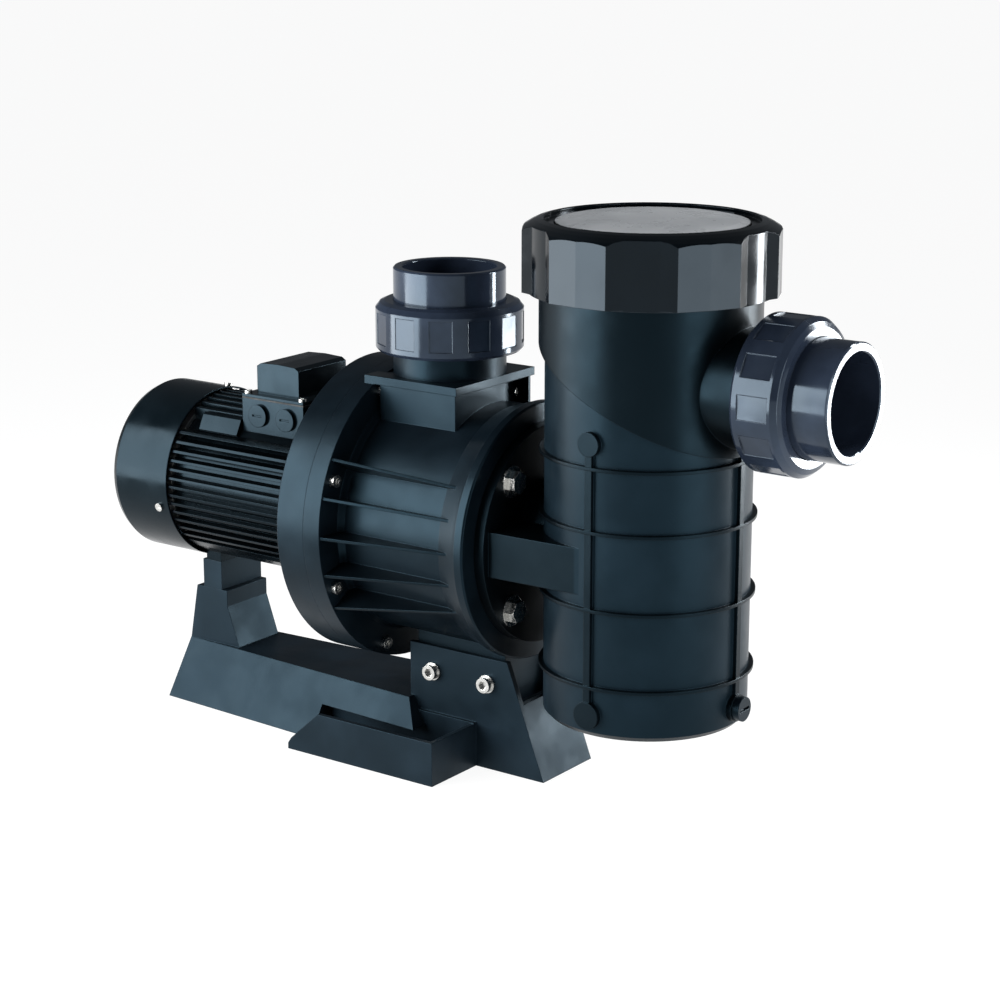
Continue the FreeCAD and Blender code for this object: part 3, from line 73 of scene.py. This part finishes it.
LENS_MM = 87.6
SENSOR_MM = 36.0
CAMERA_AZIMUTH = 35.9
CAMERA_ELEVATION = 14.7
CAMERA_DISTANCE = 2.25
AIM_OFF_MIDDLE = Vector((0.0806, -0.072, 0.0084))


def look_from(azimuth, elevation, aim, distance):
    """A matrix that looks at aim. Azimuth 0 looks along +Y; elevation is above the horizon, in degrees."""
    turn, tilt = math.radians(azimuth), math.radians(elevation)
    back = Vector((math.sin(turn) * math.cos(tilt), -math.cos(turn) * math.cos(tilt), math.sin(tilt)))
    facing = back.to_track_quat("Z", "Y").to_matrix().to_4x4()
    return Matrix.Translation(aim + back * distance) @ facing


def make_camera():
    data = bpy.data.cameras.new("camera")
    data.lens = LENS_MM
    data.sensor_width = SENSOR_MM
    camera = bpy.data.objects.new("camera", data)
    bpy.context.scene.collection.objects.link(camera)
    aim = MIDDLE + AIM_OFF_MIDDLE
    camera.matrix_world = look_from(CAMERA_AZIMUTH, CAMERA_ELEVATION, aim, CAMERA_DISTANCE)
    bpy.context.scene.camera = camera


# ---------------------------------------------------------------- floor and light

WHITE = (1.0, 1.0, 1.0, 1.0)

FLOOR_RADIUS = 40.0
FLOOR_GREY = (0.16, 0.16, 0.16)
FLOOR_GLOW = 0.93

LIGHT_DISTANCE = 1.3
LIGHT_LOW_EDGE = -10
SKY_COLOUR = (0.86, 0.92, 1.0, 1.0)
SKY_STRENGTH = 0.12


def make_floor():
    """A plain floor that glows a little, so that it is as pale as the photo's background."""
    bm = bmesh.new()
    bmesh.ops.create_circle(bm, cap_ends=True, segments=96, radius=FLOOR_RADIUS)
    mesh = bpy.data.meshes.new("floor")
    bm.to_mesh(mesh)
    bm.free()
    floor = bpy.data.objects.new("floor", mesh)
    bpy.context.scene.collection.objects.link(floor)
    paper = Shader("floor_paper", FLOOR_GREY, roughness=0.95, Specular_IOR_Level=0.0,
                   Emission_Color=WHITE, Emission_Strength=FLOOR_GLOW)
    floor.data.materials.append(paper.material)


def soft_light(name, azimuth, high_edge, width, power):
    """An upright soft box.

    Seen from the middle of the object, it reaches from LIGHT_LOW_EDGE to high_edge degrees above the horizon.
    """
    bottom = LIGHT_DISTANCE * math.tan(math.radians(LIGHT_LOW_EDGE))
    top = LIGHT_DISTANCE * math.tan(math.radians(high_edge))
    data = bpy.data.lights.new(name, "AREA")
    data.shape = "RECTANGLE"
    data.size = width
    data.size_y = top - bottom
    data.energy = power
    lamp = bpy.data.objects.new(name, data)
    bpy.context.scene.collection.objects.link(lamp)
    centre = MIDDLE + Vector((0, 0, (top + bottom) / 2))
    lamp.matrix_world = look_from(azimuth, 0, centre, LIGHT_DISTANCE)


def make_lights():
    """A broad light from the camera's left, a weak one and a thin one from its right, and a dim sky."""
    soft_light("key", azimuth=-38, high_edge=36, width=1.3, power=44)
    soft_light("rim", azimuth=139, high_edge=40, width=0.20, power=28)
    soft_light("side", azimuth=82, high_edge=30, width=0.62, power=9)
    world = bpy.data.worlds.new("studio")
    world.use_nodes = True
    background = world.node_tree.nodes["Background"]
    background.inputs["Color"].default_value = SKY_COLOUR
    background.inputs["Strength"].default_value = SKY_STRENGTH
    bpy.context.scene.world = world
    bpy.context.scene.view_settings.view_transform = "Standard"


# ---------------------------------------------------------------- node materials

BEVEL_SAMPLES = 6

# A Mix node's colour sockets share their names with its number sockets, so they go by place.
MIX_FIRST_COLOUR = 6
MIX_SECOND_COLOUR = 7
MIX_RESULT_COLOUR = 2


class Shader:
    """A node material, built up one effect at a time. Sizes and heights are in metres."""

    def __init__(self, name, colour, roughness, **sockets):
        self.name = name
        self.material = bpy.data.materials.new(name)
        self.material.use_nodes = True
        self.tree = self.material.node_tree
        self.surface = self.tree.nodes["Principled BSDF"]
        self.colour = (*colour, 1.0)
        self.surface.inputs["Base Color"].default_value = self.colour
        self.surface.inputs["Roughness"].default_value = roughness
        for socket, value in sockets.items():
            self.surface.inputs[socket.replace("_", " ")].default_value = value
        self.material.diffuse_color = self.colour
        self.places = self.node("TexCoord").outputs["Object"]
        self.bumps = None

    def feed(self, socket, value):
        if isinstance(value, bpy.types.NodeSocket):
            self.tree.links.new(value, socket)
        else:
            socket.default_value = value

    def node(self, kind, **inputs):
        made = self.tree.nodes.new("ShaderNode" + kind)
        for socket, value in inputs.items():
            self.feed(made.inputs[socket], value)
        return made

    # Patterns: each makes nodes and gives back what comes out of them.

    def maths(self, operation, a, b=0.0):
        made = self.node("Math")
        made.operation = operation
        self.feed(made.inputs[0], a)
        self.feed(made.inputs[1], b)
        return made.outputs[0]

    def ramp(self, factor, low, high, start=0.0, end=1.0):
        """Goes smoothly from start to end as factor goes from low to high."""
        made = self.node("MapRange", Value=factor)
        made.interpolation_type = "SMOOTHSTEP"
        for socket, value in (("From Min", low), ("From Max", high), ("To Min", start), ("To Max", end)):
            made.inputs[socket].default_value = value
        return made.outputs[0]

    def past(self, value, edge, blur, amount=1.0):
        """0 before an edge and amount past it, or the other way round where blur is negative."""
        return self.ramp(value, edge - blur, edge + blur, end=amount)

    def noise(self, size, detail, squeeze=(1, 1, 1)):
        """A cloud pattern whose blobs are about size across, and squeeze times smaller along each axis."""
        mapping = self.node("Mapping", Vector=self.places, Scale=tuple(s / size for s in squeeze))
        return self.node("TexNoise", Vector=mapping.outputs[0], Scale=1.0, Detail=detail).outputs[0]

    def patches(self, size, detail, low, high, amount=1.0, squeeze=(1, 1, 1)):
        """Patches about size across: 0 where the noise is at low, up to amount where it is at high."""
        return self.ramp(self.noise(size, detail, squeeze), low, high, end=amount)

    def bevelled(self, radius):
        """The surface's normal, with its edges rounded."""
        made = self.node("Bevel", Radius=radius)
        made.samples = BEVEL_SAMPLES
        return made.outputs[0]

    def edges(self, radius):
        """1 on the outer and inner edges of the piece, 0 on its flats."""
        aligned = self.node("VectorMath")
        aligned.operation = "DOT_PRODUCT"
        self.feed(aligned.inputs[0], self.bevelled(radius))
        self.feed(aligned.inputs[1], self.node("NewGeometry").outputs["Normal"])
        return self.ramp(self.maths("SUBTRACT", 1.0, aligned.outputs["Value"]), low=0.03, high=0.25)

    def split(self, vector):
        """The X, Y and Z parts of a vector."""
        return self.node("SeparateXYZ", Vector=vector).outputs

    def from_line(self, axis, place):
        """Distance from the line in the plane y = 0 on which the coordinate along axis, X or Z, is place."""
        here = self.split(self.places)
        offset = self.maths("SUBTRACT", here[axis], place)
        square = self.maths("MULTIPLY", offset, offset)
        return self.maths("SQRT", self.maths("ADD", square, self.maths("MULTIPLY", here[Y], here[Y])))

    # Effects: each changes the surface.

    def tint(self, factor, colour):
        """Mixes another colour over the base by factor."""
        links = self.surface.inputs["Base Color"].links
        mix = self.node("Mix")
        mix.data_type = "RGBA"
        self.feed(mix.inputs["Factor"], factor)
        self.feed(mix.inputs[MIX_FIRST_COLOUR], links[0].from_socket if links else self.colour)
        self.feed(mix.inputs[MIX_SECOND_COLOUR], (*colour, 1.0))
        self.tree.links.new(mix.outputs[MIX_RESULT_COLOUR], self.surface.inputs["Base Color"])

    def tint_edges_for_wear_and_painted_light(self, radius, size, low, high, colour):
        """Tints the edges, in patches about size across: part wear, part painted light along the edges."""
        edge_wear_and_painted_light = self.patches(size, 4.0, low, high)
        self.tint(self.maths("MULTIPLY", self.edges(radius), edge_wear_and_painted_light), colour)

    def rough(self, size, detail, low, high):
        """Roughness from low to high, in patches about size across."""
        roughness = self.ramp(self.noise(size, detail), 0.25, 0.75, low, high)
        self.tree.links.new(roughness, self.surface.inputs["Roughness"])

    def round_edges(self, radius):
        """Shades the edges as if they were rounded."""
        self.bumps = self.bevelled(radius)
        self.tree.links.new(self.bumps, self.surface.inputs["Normal"])

    def bump(self, size, detail, height, squeeze=(1, 1, 1)):
        """Bumps about size across, over the rounding and bumps made before."""
        made = self.node("Bump", Height=self.noise(size, detail, squeeze), Distance=height, Strength=1.0)
        if self.bumps is not None:
            self.feed(made.inputs["Normal"], self.bumps)
        self.bumps = made.outputs[0]
        self.tree.links.new(self.bumps, self.surface.inputs["Normal"])


BLUE_SHEEN = (0.36, 0.73, 1.0, 1.0)
PALE_SHEEN = (0.66, 0.84, 1.0, 1.0)


def scaled(colour, factor, added=0.0):
    return tuple(min(1.0, c * factor + added) for c in colour)


def moulded(name, colour, roughness, edge_wear_and_painted_light, grain=0.0008, grain_height=0.00003, soft_edge=0.0006, mottle=0.5,
            gloss=0.2, sheen=BLUE_SHEEN):
    """Moulded plastic: rounded edges, a fine grain, a faint cloudiness, and edges tinted to another colour:
    part wear, part painted light (a painted highlight where lighter, painted shade where darker).
    """
    made = Shader(name, colour, roughness, Specular_IOR_Level=gloss, Specular_Tint=sheen)
    made.round_edges(soft_edge)
    made.bump(grain, detail=3.0, height=grain_height)
    made.bump(0.02, detail=1.0, height=0.00010)
    made.tint(made.patches(0.07, detail=5.0, low=0.44, high=0.72, amount=mottle), scaled(colour, 1.9, 0.001))
    made.tint(made.patches(0.05, detail=4.0, low=0.60, high=0.36, amount=mottle), scaled(colour, 0.45))
    # Edge tint: part wear, part painted highlight or shade along the edges.
    made.tint_edges_for_wear_and_painted_light(soft_edge * 1.5, size=0.012, low=0.35, high=0.7, colour=edge_wear_and_painted_light)
    made.rough(0.035, detail=3.0, low=roughness - 0.06, high=roughness + 0.08)
    return made


def painted(name, colour, roughness, grain_height, soft_edge):
    """Gloss paint on cast or pressed metal, a little orange-peeled."""
    made = Shader(name, colour, roughness, Specular_IOR_Level=0.15, Specular_Tint=BLUE_SHEEN)
    made.round_edges(soft_edge)
    made.bump(0.0035, detail=2.0, height=grain_height)
    made.tint(made.patches(0.06, detail=4.0, low=0.45, high=0.75, amount=0.5), scaled(colour, 1.8, 0.001))
    # Edges tinted lighter: part wear, part painted highlight.
    made.tint_edges_for_wear_and_painted_light(soft_edge * 1.4, size=0.008, low=0.45, high=0.7, colour=scaled(colour, 2.5, 0.004))
    made.rough(0.03, detail=3.0, low=roughness - 0.06, high=roughness + 0.08)
    return made


def metal(name, colour, roughness, streak):
    """Bare metal with fine machining streaks."""
    made = Shader(name, colour, roughness, Metallic=1.0)
    made.round_edges(0.0004)
    made.bump(streak, detail=2.0, height=0.00002, squeeze=(1, 6, 1))
    made.tint(made.patches(0.006, detail=4.0, low=0.5, high=0.8, amount=0.5), scaled(colour, 0.55))
    made.rough(0.004, detail=3.0, low=roughness - 0.08, high=roughness + 0.12)
    return made


def rubber(name, colour):
    """Dull rubber with paler patches."""
    made = Shader(name, colour, roughness=0.7)
    made.bump(0.0015, detail=3.0, height=0.00004)
    made.tint(made.patches(0.02, detail=3.0, low=0.4, high=0.8, amount=0.5), scaled(colour, 2.0, 0.01))
    made.rough(0.01, detail=3.0, low=0.6, high=0.8)
    return made


def clouded_lens(name, colour, cloud, rim, window_radius):
    """The lid's clouded plastic, which lets a little light through inside a dark rim."""
    made = Shader(name, colour, roughness=0.3, Transmission_Weight=0.12, IOR=1.45)
    clouds = made.patches(0.09, detail=2.0, low=0.42, high=0.66, amount=0.7, squeeze=(1, 0.5, 1))
    made.tint(clouds, cloud)
    made.tint(made.past(made.from_line(X, POT_X), window_radius, blur=0.0004), rim)
    made.rough(0.03, detail=3.0, low=0.24, high=0.36)
    made.bump(0.03, detail=2.0, height=0.00005)
    return made


# ---------------------------------------------------------------- the pump's materials

STAND = (0.0046, 0.0082, 0.0122)
HOUSING = (0.0024, 0.0048, 0.0074)
# Edge colour for the housing: part wear, part painted highlight.
HOUSING_EDGE_WEAR_AND_PAINTED_LIGHT = (0.007, 0.010, 0.013)
POT = (0.0042, 0.0090, 0.0135)
RING = (0.0010, 0.0020, 0.0030)
UNION = (0.0150, 0.0215, 0.0360)
# The colour of painted shade: on the pot's raised ribs, its faces that look down, and the volute's ribs.
PAINTED_SHADE = (0.0004, 0.0006, 0.0008)

LENS_WINDOW_RADIUS = 0.0872

# The pot's raised ribs start at this radius, just outside its wall.
POT_RIBS_RADIUS = 0.0967

# The volute's lengthwise ribs are outside this radius from the shaft, between these distances in from the
# body's back and front ends, and lower than this height over the shaft.
FINS_RADIUS = 0.1189
FINS_FROM_BACK = 0.0210
FINS_FROM_FRONT = 0.0301
FINS_TOP_OVER_SHAFT = 0.0985


def paint_shade_on_pot_ribs(made):
    """Paints shade on the pot's raised ribs and on its faces that look down, so that they read dark."""
    # Painted shade on the raised ribs.
    made.tint(made.past(made.from_line(X, POT_X), POT_RIBS_RADIUS, blur=0.0003, amount=0.9), PAINTED_SHADE)
    upward = made.split(made.node("NewGeometry").outputs["Normal"])[Z]
    # Painted shade on the faces that look down.
    made.tint(made.ramp(upward, -0.25, -0.5, end=0.9), PAINTED_SHADE)
    return made


def paint_shade_on_volute_ribs(made):
    """Paints shade on the volute's lengthwise ribs, so that they read as thin dark lines."""
    back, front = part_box("pump_body")
    here = made.split(made.places)
    past_back = made.past(here[X], back.x + FINS_FROM_BACK, blur=0.0005)
    before_front = made.past(here[X], front.x - FINS_FROM_FRONT, blur=-0.001)
    outside = made.past(made.from_line(Z, SHAFT_Z), FINS_RADIUS, blur=0.0003, amount=0.55)
    below = made.past(here[Z], SHAFT_Z + FINS_TOP_OVER_SHAFT, blur=-0.001)
    along = made.maths("MULTIPLY", past_back, before_front)
    # Painted shade over the ribs, between the body's ends and below the top.
    made.tint(made.maths("MULTIPLY", made.maths("MULTIPLY", along, outside), below), PAINTED_SHADE)
    return made


def make_materials():
    """A material for each slot, and the pot's and the volute body's own ones, by name."""
    housing = dict(colour=HOUSING, roughness=0.34, edge_wear_and_painted_light=HOUSING_EDGE_WEAR_AND_PAINTED_LIGHT, grain=0.0009, soft_edge=0.001)
    shaders = (
        moulded("stand_plastic", STAND, roughness=0.42, edge_wear_and_painted_light=(0.012, 0.018, 0.024), grain=0.0011,
                grain_height=0.00004, soft_edge=0.001),
        moulded("housing_plastic", **housing),
        paint_shade_on_pot_ribs(moulded("pot_plastic", POT, roughness=0.34, edge_wear_and_painted_light=(0.004, 0.007, 0.009), grain=0.0009,
                          grain_height=0.00002, soft_edge=0.001, mottle=0.35, gloss=0.18)),
        paint_shade_on_volute_ribs(moulded("body_plastic", **housing)),
        # The ring's and union's edge colours are mostly a painted highlight along their edges, with some
        # wear.
        moulded("ring_plastic", RING, roughness=0.13, edge_wear_and_painted_light=(0.035, 0.045, 0.055), grain=0.0007,
                grain_height=0.00001, soft_edge=0.0007, gloss=0.26, sheen=PALE_SHEEN),
        moulded("union_plastic", UNION, roughness=0.13, edge_wear_and_painted_light=(0.05, 0.06, 0.075), grain_height=0.00001,
                soft_edge=0.001, gloss=0.42, sheen=PALE_SHEEN),
        moulded("basket_plastic", (0.11, 0.12, 0.125), roughness=0.5, edge_wear_and_painted_light=(0.16, 0.165, 0.17),
                grain_height=0.00002, soft_edge=0.0008, gloss=0.5, sheen=WHITE),
        moulded("box_plastic", (0.0016, 0.003, 0.0042), roughness=0.2, edge_wear_and_painted_light=HOUSING_EDGE_WEAR_AND_PAINTED_LIGHT,
                grain_height=0.00002, soft_edge=0.0009),
        moulded("fan_plastic", (0.01, 0.01, 0.011), roughness=0.5, edge_wear_and_painted_light=(0.03, 0.03, 0.03)),
        moulded("block_plastic", (0.16, 0.05, 0.02), roughness=0.4, edge_wear_and_painted_light=(0.25, 0.1, 0.05), sheen=WHITE),
        moulded("impeller_plastic", (0.03, 0.03, 0.032), roughness=0.4, edge_wear_and_painted_light=(0.06, 0.06, 0.06)),
        moulded("seal_ceramic", (0.30, 0.28, 0.25), roughness=0.25, edge_wear_and_painted_light=(0.36, 0.35, 0.32),
                grain_height=0.00001, soft_edge=0.0004, sheen=WHITE),
        painted("motor_paint", (0.0010, 0.0018, 0.0025), 0.26, grain_height=0.00003, soft_edge=0.0006),
        painted("cover_paint", (0.0016, 0.0034, 0.0048), 0.20, grain_height=0.00002, soft_edge=0.001),
        metal("fastener_steel", (0.62, 0.62, 0.6), 0.22, streak=0.0006),
        metal("shaft_steel", (0.52, 0.52, 0.52), 0.25, streak=0.0004),
        metal("bearing_steel", (0.62, 0.62, 0.63), 0.15, streak=0.0004),
        metal("lamination_steel", (0.22, 0.22, 0.24), 0.45, streak=0.0006),
        metal("bare_aluminium", (0.6, 0.6, 0.6), 0.4, streak=0.0012),
        metal("copper", (0.45, 0.17, 0.07), 0.35, streak=0.0008),
        metal("stud_brass", (0.6, 0.43, 0.17), 0.3, streak=0.0004),
        rubber("seal_rubber", (0.012, 0.012, 0.012)),
        clouded_lens("lens_plastic", (0.66, 0.68, 0.70), cloud=(0.46, 0.48, 0.50),
                     rim=(0.002, 0.003, 0.004), window_radius=LENS_WINDOW_RADIUS),
    )
    return {shader.name: shader.material for shader in shaders}


# Nodes that don't wear their slot's material.
OWN_MATERIALS = {"strainer_pot": "pot_plastic", "pump_body": "body_plastic"}


def paint_nodes(materials):
    for part in frame["record"]["subparts"]:
        mesh = frame["nodes"][part["node"]].data
        slot = OWN_MATERIALS.get(part["node"], part["material_slot"])
        mesh.materials.clear()
        mesh.materials.append(materials[slot])


# ---------------------------------------------------------------- ribs under the stand

# A rib's outline: upright on its inner side, sloped on its outer side.
RIB_INNER_Y = 0.041
RIB_FOOT_Y = 0.072
RIB_TOP_Y = 0.0465
RIB_BOTTOM_Z = 0.001
RIB_TOP_Z = 0.044

RIB_FROM_BACK = 0.2005
RIB_THICKNESS = 0.005


def plate(name, corners, x, thickness):
    """An upright plate across the stand, from its outline's (y, z) corners."""
    bm = bmesh.new()
    faces = []
    for place in (x, x + thickness):
        faces.append(bm.faces.new([bm.verts.new((place, y, z)) for y, z in corners]))
    near, far = faces
    for a, b in zip(range(len(corners)), [*range(1, len(corners)), 0]):
        bm.faces.new((near.verts[a], near.verts[b], far.verts[b], far.verts[a]))
    bmesh.ops.recalc_face_normals(bm, faces=bm.faces)
    mesh = bpy.data.meshes.new(name)
    bm.to_mesh(mesh)
    bm.free()
    piece = bpy.data.objects.new(name, mesh)
    bpy.context.scene.collection.objects.link(piece)
    return piece


def make_stand_ribs(materials):
    """Upright ribs that close the stand's skirt behind each foot."""
    back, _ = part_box("base_stand")
    for name, side in (("stand_rib_left", -1), ("stand_rib_right", 1)):
        corners = (
            (side * RIB_INNER_Y, RIB_BOTTOM_Z),
            (side * RIB_FOOT_Y, RIB_BOTTOM_Z),
            (side * RIB_TOP_Y, RIB_TOP_Z),
            (side * RIB_INNER_Y, RIB_TOP_Z),
        )
        rib = plate(name, corners, back.x + RIB_FROM_BACK, RIB_THICKNESS)
        rib.data.materials.append(materials["stand_plastic"])
        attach(rib, "pump")


make_camera()
make_floor()
make_lights()
all_materials = make_materials()
paint_nodes(all_materials)
make_stand_ribs(all_materials)
